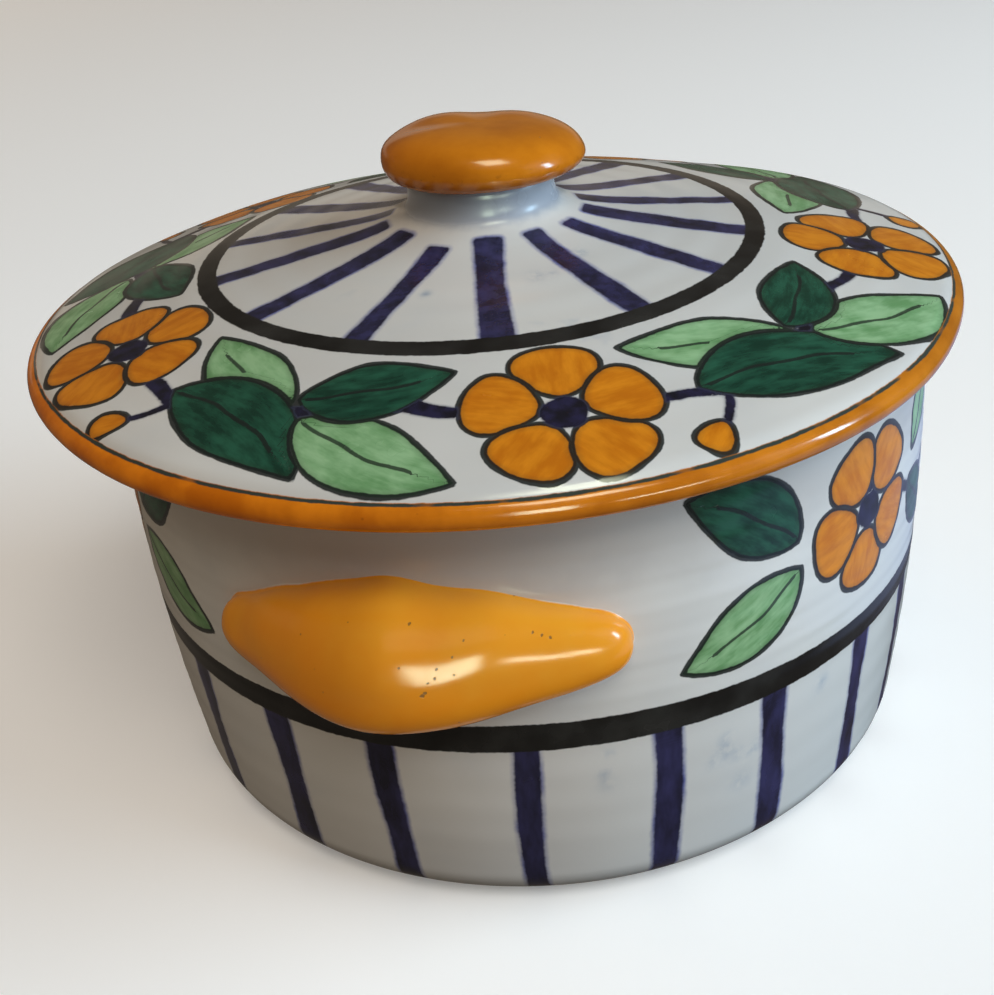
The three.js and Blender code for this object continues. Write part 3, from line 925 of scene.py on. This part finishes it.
def painted_glaze():
    g = Graph("painted_tin_glaze")
    fine = g.noise(2.4, 2.0) - 0.5
    hair = g.noise(0.75, 2.0) - 0.5
    w = fine * 0.55 + hair * 0.30                     # unsteady edge, mm
    cloud = g.noise(11.0, 3.0, 0.55)
    wide = g.noise(46.0, 2.0)
    brush_at = g.vector(g.attr("bu") * 0.16, g.attr("bv") * 0.60, g.attr("tone") * 41.0)
    brush = g.noise(1.0, 3.0, 0.6, brush_at)
    wash = g.noise(6.5, 3.0, 0.55, g.shift(31.0, 7.0, 3.0))
    load = g.noise(5.0, 1.0)                          # how full the liner was

    white = g.mix(g.ramp(wide, 0.32, 0.68), WHITE_A, WHITE_B)
    white = g.mix(g.ramp(cloud, 0.50, 0.85) * 0.35, white, (0.62, 0.63, 0.63))
    white = g.mix(g.specks(7.0, 0.30, 0.16) * 0.55, white, (0.13, 0.12, 0.11))
    smudge = g.ramp(g.noise(16.0, 3.0, 0.6, g.shift(5.0, 71.0, 9.0)), 0.66, 0.78)
    white = g.mix(smudge * g.ramp(g.noise(3.2, 2.0), 0.40, 0.66) * 0.45, white, (0.34, 0.41, 0.50))

    white = g.mix(g.attr("smear") * g.ramp(g.noise(2.2, 3.0, 0.6), 0.28, 0.60) * 0.8, white, (0.27, 0.34, 0.44))
    # painted shade: the lid's neck is painted darker and bluer, standing in for the knob's shadow and the window's blue
    # light there
    sep = g.t.nodes.new("ShaderNodeSeparateXYZ")
    g.t.links.new(g.mm, sep.inputs[0])
    level = Sock(g, sep.outputs[2])
    neck_shade = g.ramp(level + fine * 0.9, 101.1, 102.9)
    white = g.mix(neck_shade, white, (0.37, 0.395, 0.445))
    # painted shade: the lid above 85 mm is painted a little darker and warmer, to offset the stronger light from above
    # on it
    white = g.mix(g.ramp(level, 85.0, 86.5) * 0.12, white, (0.12, 0.07, 0.0))
    # painted shadow: the pot's wall below the mouth is painted darker and browner where the lid's overhang shades it
    under_lid_shadow = g.ramp(level + (cloud - 0.5) * 7.0, 61.0, 73.0) * g.ramp(level, 84.0, 82.5)
    white = g.mix(under_lid_shadow * 0.28, white, (0.20, 0.13, 0.10))

    oa, ob_, oc, dg, lg, nv = (g.attr(k) for k in ("or_a", "or_b", "or_c", "dg", "lg", "nv"))
    petal = oa.min(ob_).min(oc)
    col = white
    # fills stop a little short of, or run a little over, their outline
    slip = (load - 0.5) * 0.5
    def fill(sd):
        return g.ramp(sd + w * 0.8 + slip, 0.16, -0.12)

    orange = g.mix(g.ramp(brush * 0.55 + wash * 0.45, 0.34, 0.66), (0.55, 0.155, 0.004), (0.72, 0.245, 0.010))
    orange = g.mix(g.specks(9.0, 0.8, 0.22, soft=0.9) * 0.35, orange, (0.30, 0.07, 0.003))
    dark = g.mix(g.ramp(brush * 0.6 + wash * 0.4, 0.36, 0.66), (0.0045, 0.034, 0.020), (0.018, 0.098, 0.056))
    light = g.mix(g.ramp(brush * 0.5 + wash * 0.5, 0.34, 0.66), (0.135, 0.300, 0.118), (0.300, 0.500, 0.260))
    for sd, ink in ((dg, dark), (lg, light), (petal, orange)):
        col = g.mix(fill(sd), col, ink)
        col = g.mix(g.ramp(sd + w, -1.6, -0.2) * g.ramp(sd, 0.1, -0.1) * 0.30, col, (0.02, 0.03, 0.015))
    # liner: round every shape, and along the ribs of the leaves
    lw = load * 0.36 + 0.27
    def liner(sd, width):
        return g.ramp((sd + w * 0.5).abs() - width, 0.13, -0.10)
    ink = liner(oa, lw).max(liner(ob_, lw)).max(liner(oc, lw)).max(liner(dg, lw)).max(liner(lg, lw))
    rib = liner(g.attr("vein"), lw * 0.72)
    ink = ink.max(rib * g.ramp(dg.min(lg), 0.0, -0.5) * 0.9)
    col = g.mix(ink * 0.96, col, (0.011, 0.015, 0.014))
    # stems and flower hearts
    nvw = nv + w * 0.9
    col = g.mix(g.ramp(nvw, 0.50, -0.2) * 0.5, col, (0.05, 0.055, 0.12))
    navy = g.mix(g.ramp(g.noise(2.6, 2.0), 0.3, 0.75), (0.0085, 0.008, 0.014), (0.020, 0.018, 0.052))
    col = g.mix(g.ramp(nvw, 0.12, -0.22), col, navy)
    # stripes, with the blue running out at their edges
    st = g.attr("st")
    stw = st + w * 0.85
    run = g.ramp(g.noise(9.0, 2.0, 0.5, g.shift(3.0, 17.0, 51.0)), 0.30, 0.72, 0.35, 1.0)
    col = g.mix(g.ramp(stw, 0.72, -0.20) * run * 0.9, col, (0.050, 0.066, 0.28))
    core = g.mix(g.ramp(brush * 0.3 + g.noise(4.0, 3.0, 0.6, g.stretch(1.0, 1.0, 0.35)) * 0.7, 0.32, 0.70),
                 (0.0120, 0.0115, 0.026), (0.038, 0.036, 0.108))
    col = g.mix(g.ramp(stw, 0.02, -0.5), col, core)
    # turned black rings
    rg = g.attr("rg")
    black = g.mix(g.ramp(cloud, 0.35, 0.75), (0.0085, 0.0080, 0.0075), (0.026, 0.025, 0.023))
    col = g.mix(g.ramp(rg + w * 0.75, 0.14, -0.16), col, black)
    # rim colour with its thin dark line
    rm = g.attr("rm")
    rmw = rm + w * 0.5
    mottle = g.ramp(wash * 0.5 + g.noise(20.0, 2.0) * 0.5, 0.36, 0.64)
    rimc = g.mix(mottle, (0.58, 0.140, 0.002), (0.86, 0.250, 0.007))
    # painted shade: the rim is painted darker and browner towards the viewer's right, against the strong window light
    # on that side
    at = g.t.nodes.new("ShaderNodeSeparateXYZ")
    g.t.links.new(g.mm, at.inputs[0])
    side = Sock(g, at.outputs[0]) * 0.963 + Sock(g, at.outputs[1]) * 0.269
    rim_shade_brown = g.mix(mottle, (0.39, 0.120, 0.006), (0.53, 0.178, 0.012))
    rimc = g.mix(g.ramp(side, -62.0, 72.0) * 0.9, rimc, rim_shade_brown)
    rimc = g.mix(g.specks(1.9, 0.33, 0.22, soft=0.7) * g.ramp(g.noise(14.0, 1.0), 0.50, 0.62) * 0.85, rimc, (0.16, 0.018, 0.004))
    col = g.mix(g.ramp(rmw, 0.14, -0.12), col, rimc)
    col = g.mix(liner(rm + 0.35, load * 0.30 + 0.12) * g.ramp(load, 0.20, 0.42), col, (0.040, 0.050, 0.040))
    # bare clay where it stood in the kiln and where lid and pot meet
    clay = g.attr("clay")
    cm = g.ramp(clay + fine * 0.5, 0.42, 0.58)
    col = g.mix(cm, col, clay_colour(g))

    paint = g.ramp(petal.min(dg).min(lg).min(nv).min(st).min(rg), 0.4, -0.5)
    grit = g.noise(0.5, 3.0, 0.6)
    rough = g.ramp(cloud, 0.25, 0.80, 0.10, 0.19) + paint * 0.10 + neck_shade * 0.14 + cm * 0.58
    height = (g.noise(17.0, 2.0) * 0.10 + g.noise(4.2, 2.0) * 0.012 + paint * 0.018 + ink * 0.012
              + cm * (grit * 0.05) - g.specks(5.0, 0.25, 0.10) * 0.05)
    return g.surface(col, rough, height)


# larger pinholes on the lugs: place round the pot at 75.5 mm, height, size
PINHOLES = ((5.55, 57.9, 0.27), (5.85, 58.25, 0.22), (7.3, 61.3, 0.17), (7.1, 60.1, 0.18), (9.2, 62.5, 0.16), (2.9, 62.1, 0.15),
            (9.4, 60.2, 0.12), (6.3, 59.6, 0.13), (19.5, 63.2, 0.16), (20.7, 62.6, 0.17), (21.8, 62.1, 0.19),
            (3.6, 66.5, 0.14), (10.6, 64.2, 0.14), (233.2, 60.5, 0.22), (231.0, 58.9, 0.18), (-224.7, 61.0, 0.20))


def amber_glaze(name, tones, foot_z=None, top_shade_z=None, holes=()):
    """Clear amber glaze; tones: two depths of colour, and the brown of a thick patch.
    foot_z: height below which it is painted browner, for glaze pooled there and for painted shade under the piece;
    top_shade_z: height above which it is painted darker, a painted shade against the light from above."""
    g = Graph(name)
    cloud = g.noise(21.0, 2.0, 0.5)
    fine = g.noise(3.0, 3.0, 0.6)
    col = g.mix(g.ramp(cloud * 0.8 + fine * 0.2, 0.30, 0.70), tones[0], tones[1])
    # brown where the glaze lies thick
    thick = g.ramp(g.noise(26.0, 2.0, 0.5, g.shift(13.0, 5.0, 77.0)), 0.54, 0.76)
    col = g.mix(thick * 0.45, col, tones[2])
    patch = g.ramp(g.noise(9.0, 1.0, 0.5, g.shift(2.0, 9.0, 4.0)), 0.48, 0.62)
    pin = g.specks(1.7, 0.28, 0.36, soft=0.7) * patch
    pin = pin.max(g.specks(6.0, 0.42, 0.16, vec=g.stretch(1.0, 1.0, 1.5), soft=0.7))
    if holes:
        at = g.t.nodes.new("ShaderNodeSeparateXYZ")
        g.t.links.new(g.mm, at.inputs[0])
        along = g.math("ARCTAN2", Sock(g, at.outputs[0]), Sock(g, at.outputs[1]) * -1.0) * 75.5
        nick = (g.noise(0.5, 2.0) - 0.5) * 0.4
        for a, b, size in holes:
            u, v = along + nick - a, Sock(g, at.outputs[2]) - b
            pin = pin.max(g.ramp(u * u + v * v, size * size * 1.5, size * size * 0.5))
    col = g.mix(pin * 0.85, col, (0.05, 0.018, 0.003))
    if foot_z:
        sep = g.t.nodes.new("ShaderNodeSeparateXYZ")
        g.t.links.new(g.mm, sep.inputs[0])
        # painted browner near the foot: partly glaze pooled there, partly painted shade under the knob
        low = g.ramp(Sock(g, sep.outputs[2]) + (fine - 0.5) * 2.6, foot_z + 2.6, foot_z)
        col = g.mix(low * 0.62, col, tones[2])
        speck = g.ramp(g.noise(1.3, 3.0, 0.7), 0.60, 0.72) * g.ramp(Sock(g, sep.outputs[2]), foot_z + 4.0, foot_z + 0.5)
        col = g.mix(speck * 0.6, col, (0.07, 0.022, 0.003))
    # painted shade: the upper part is painted darker and browner, against the light from above
    if top_shade_z:
        sep = g.t.nodes.new("ShaderNodeSeparateXYZ")
        g.t.links.new(g.mm, sep.inputs[0])
        col = g.mix(g.ramp(Sock(g, sep.outputs[2]) + (cloud - 0.5) * 4.0, top_shade_z, top_shade_z + 6.0) * 0.34, col, (0.46, 0.205, 0.030))
    foot = g.attr("foot")
    edge = g.ramp(foot + (fine - 0.5) * 0.3, 0.72, 0.98)
    col = g.mix(edge, col, (0.70, 0.68, 0.64))
    rough = g.ramp(fine, 0.25, 0.8, 0.135, 0.20) + pin * 0.2
    height = g.noise(15.0, 2.0) * 0.14 + g.noise(4.0, 2.0) * 0.018 - pin * 0.05
    return g.surface(col, rough, height)


def pale_floor():
    g = Graph("pale_floor")
    col = g.mix(g.noise(220.0, 2.0), (0.88, 0.87, 0.855), (0.90, 0.89, 0.875))
    g.bsdf.inputs["Emission Color"].default_value = (1.0, 0.99, 0.98, 1.0)
    g.bsdf.inputs["Emission Strength"].default_value = 0.16   # lifts the floor to a pale white
    return g.surface(col, 0.6, g.noise(3.0, 2.0) * 0.004)


# ---------------------------------------------------------------------------
# build, ride and replace
# ---------------------------------------------------------------------------
glaze = painted_glaze()
lug_amber = amber_glaze("amber_glaze_lug", LUG_AMBER, top_shade_z=52.5, holes=PINHOLES)
knob_amber = amber_glaze("amber_glaze_knob", KNOB_AMBER, 108.4)

pot = build_pot()
lid = build_lid()
ring = build_ring()
knob = build_knob()
lug_front = build_lug("amber_lug_front", False)
lug_rear = build_lug("amber_lug_rear", True)

for ob, mat, body, node, slot in (
    (pot, glaze, "pot", "pot_body", "tin_glaze"),
    (lug_front, lug_amber, "pot", "handle_front", "amber_glaze"),
    (lug_rear, lug_amber, "pot", "handle_rear", "amber_glaze"),
    (lid, glaze, "lid", "lid", "tin_glaze"),
    (ring, glaze, "lid", "lid_locating_ring", "bare_clay"),
    (knob, knob_amber, "lid", "lid_knob", "amber_glaze"),
):
    ob.data.materials.append(mat)
    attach(ob, body)
    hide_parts(node)

# ---------------------------------------------------------------------------
# stage, light and camera
# ---------------------------------------------------------------------------
fl = bpy.data.meshes.new("floor")
fl.from_pydata([(-8, -8, 0), (8, -8, 0), (8, 8, 0), (-8, 8, 0)], [], [(0, 1, 2, 3)])
floor = bpy.data.objects.new("floor", fl)
bpy.context.scene.collection.objects.link(floor)
floor.location.z = -0.0003
floor.data.materials.append(pale_floor())
floor.visible_glossy = floor.visible_diffuse = False   # a backdrop that neither shows in the glaze nor lights it


def area(name, az, el, dist, size, power, colour, seen="both", aim=(0.0, 0.0, 0.06)):
    """A soft box: az degrees to the viewer's right of the viewer, el above the horizon."""
    a = math.radians(az) + VIEW_AZ
    e = math.radians(el)
    d = bpy.data.lights.new(name, "AREA")
    d.shape = "RECTANGLE"
    d.size, d.size_y = size
    d.energy = power
    d.color = colour
    o = bpy.data.objects.new(name, d)
    o.location = Vector(aim) + dist * Vector((math.sin(a) * math.cos(e), -math.cos(a) * math.cos(e), math.sin(e)))
    o.rotation_euler = (Vector(aim) - o.location).to_track_quat("-Z", "Y").to_euler()
    o.visible_camera = False
    o.visible_glossy = seen != "matt"
    o.visible_diffuse = seen != "gloss"
    bpy.context.scene.collection.objects.link(o)
    return o


# broad soft boxes, which light the glaze without being mirrored in it
area("window", 79, 25, 1.6, (1.3, 1.1), 29.5, (0.645, 0.838, 1.0), seen="matt")
area("window_low", 66, 4, 1.6, (0.9, 0.3), 4.2, (0.33, 0.64, 1.0), seen="matt")
area("overhead", 14, 55, 1.7, (0.85, 0.85), 12.7, (1.0, 0.93, 0.84), seen="matt")
area("side_fill", -125, 16, 2.0, (1.5, 0.6), 10.0, (1.0, 0.79, 0.56), seen="matt")
area("front_fill", 2, 10, 1.5, (0.9, 0.3), 0.5, (1.0, 0.88, 0.72), seen="matt")
bounce = area("table_bounce", 4, 0, 0.165, (0.32, 0.12), 0.052, (1.0, 0.86, 0.66), seen="matt")
bounce.location.z = 0.004                              # lies on the table before the pot, facing up
bounce.rotation_euler = (math.pi, 0.0, VIEW_AZ)
# what shows in the glaze: the window, a low bright horizon, three small reflectors and the lit table
area("window_gleam", 78, 19, 1.6, (0.22, 0.48), 10.5, (0.50, 0.78, 1.0), seen="gloss")
area("horizon", -172, 5, 2.2, (3.2, 0.4), 1.0, (1.0, 0.84, 0.66), seen="gloss")
low_left = area("gleam_left", 8, 10.5, 1.2, (0.23, 0.46), 5.4, (0.82, 1.0, 0.74), seen="gloss")
low_right = area("gleam_right", 33, 4, 1.2, (0.36, 0.12), 2.2, (0.86, 1.0, 0.78), seen="gloss")
high = area("gleam_high", 28, 69, 1.5, (0.52, 0.50), 8.6, (0.95, 1.0, 0.72), seen="gloss")
for lamp, pieces in ((low_left, (knob,)), (low_right, (knob,)), (high, (lug_front, lug_rear))):
    flag = bpy.data.collections.new(lamp.name + "_flag")   # a flag keeps each reflector off some pieces
    for ob in pieces:
        flag.objects.link(ob)
    for entry in flag.collection_objects:
        entry.light_linking.link_state = "EXCLUDE"
    lamp.light_linking.receiver_collection = flag
glow = area("table_glow", 97, 0, 0.2, (0.2, 0.34), 0.11, (0.42, 0.56, 1.0), seen="gloss")
glow.location.z = 0.004                                # lies on the table at the window's side, facing up
glow.rotation_euler = (math.pi, 0.0, VIEW_AZ)

world = bpy.data.worlds.new("studio")
world.use_nodes = True
world.node_tree.nodes["Background"].inputs["Color"].default_value = (1.0, 0.83, 0.65, 1.0)
world.node_tree.nodes["Background"].inputs["Strength"].default_value = 0.090
bpy.context.scene.world = world
bpy.context.scene.view_settings.view_transform = "Standard"

D, HC, PITCH, YAW, ROLL, FOCAL = 2.8389, 2.0748, 0.5139, -0.0271, -0.0972, 1358.4
fw = Vector((math.sin(YAW) * math.cos(PITCH), math.cos(YAW) * math.cos(PITCH), -math.sin(PITCH)))
right = fw.cross(Vector((0, 0, 1))).normalized()
up = right.cross(fw)
r2 = math.cos(ROLL) * right + math.sin(ROLL) * up
u2 = -math.sin(ROLL) * right + math.cos(ROLL) * up
turn = Matrix.Rotation(VIEW_AZ, 3, "Z")
cols = [turn @ v for v in (r2, u2, -fw)]
cam_data = bpy.data.cameras.new("camera")
cam_data.sensor_fit = "AUTO"
cam_data.sensor_width = 36.0
cam_data.lens = FOCAL * 36.0 / 995.0
cam_data.clip_start = 0.01
camera = bpy.data.objects.new("camera", cam_data)
bpy.context.scene.collection.objects.link(camera)
m3 = Matrix((cols[0], cols[1], cols[2])).transposed()
camera.matrix_world = Matrix.Translation(turn @ Vector((0, -D, HC)) * 0.085) @ m3.to_4x4()
bpy.context.scene.camera = camera

bpy.context.view_layer.update()
